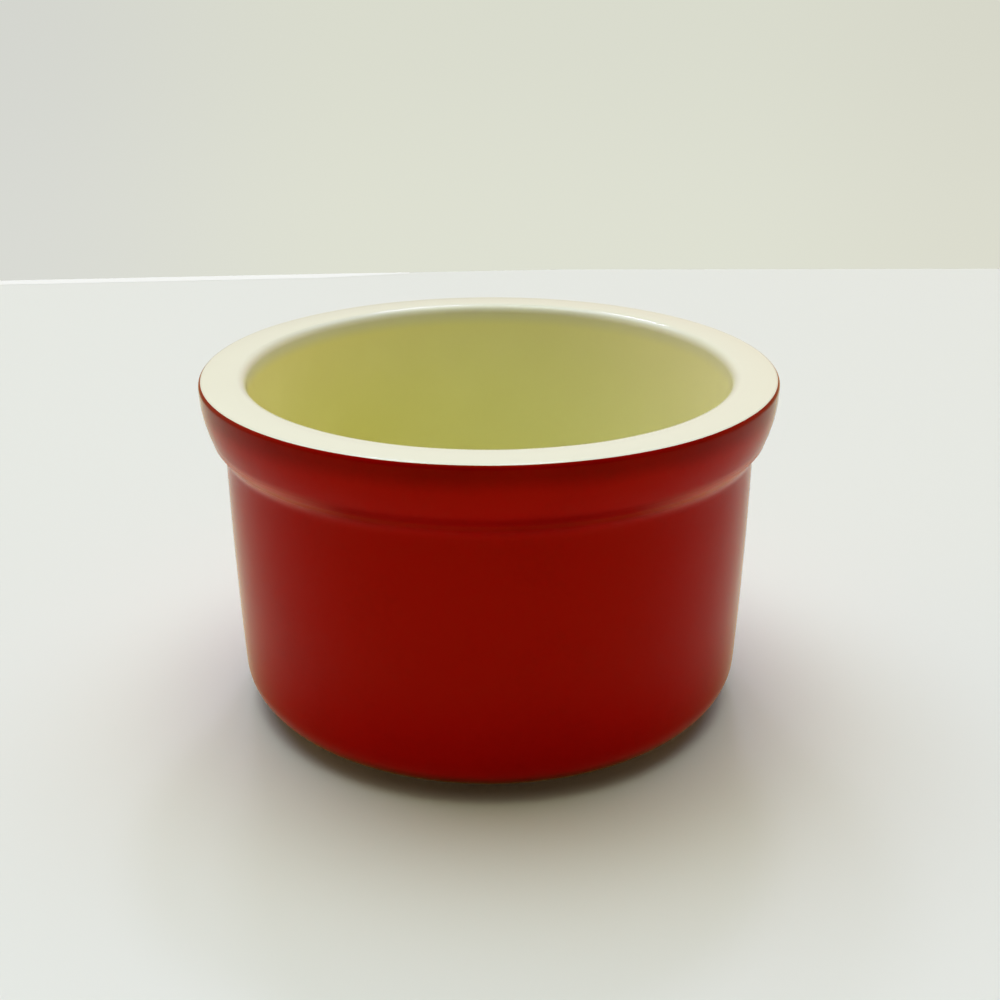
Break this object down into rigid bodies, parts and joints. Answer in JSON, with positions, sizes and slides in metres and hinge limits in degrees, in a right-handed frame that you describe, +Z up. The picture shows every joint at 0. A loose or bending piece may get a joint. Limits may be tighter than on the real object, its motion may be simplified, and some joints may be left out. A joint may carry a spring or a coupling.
{
  "type": "ramekin",
  "caption": "Round straight-sided stoneware ramekin with a band under an almost flat rim, a foot ring, a red glazed outside and a cream glazed rim and inside.",
  "frame": {"origin": "centre of the plane that the foot ring stands on", "axes": "+Z up along the pot's axis, towards the rim; +X and +Y are any two level directions, because the pot is round"},
  "size_m": [0.09, 0.09, 0.0546],
  "materials": {
    "clay": "bare fired stoneware, matt and slightly rough",
    "cream_glaze": "smooth glossy cream glaze",
    "red_glaze": "smooth glossy deep red glaze"
  },
  "bodies": {
    "root": {"stoneware_body": "clay", "cream_inner_glaze": "cream_glaze", "red_outer_glaze": "red_glaze", "red_underside_glaze": "red_glaze"}
  },
  "joints": []
}
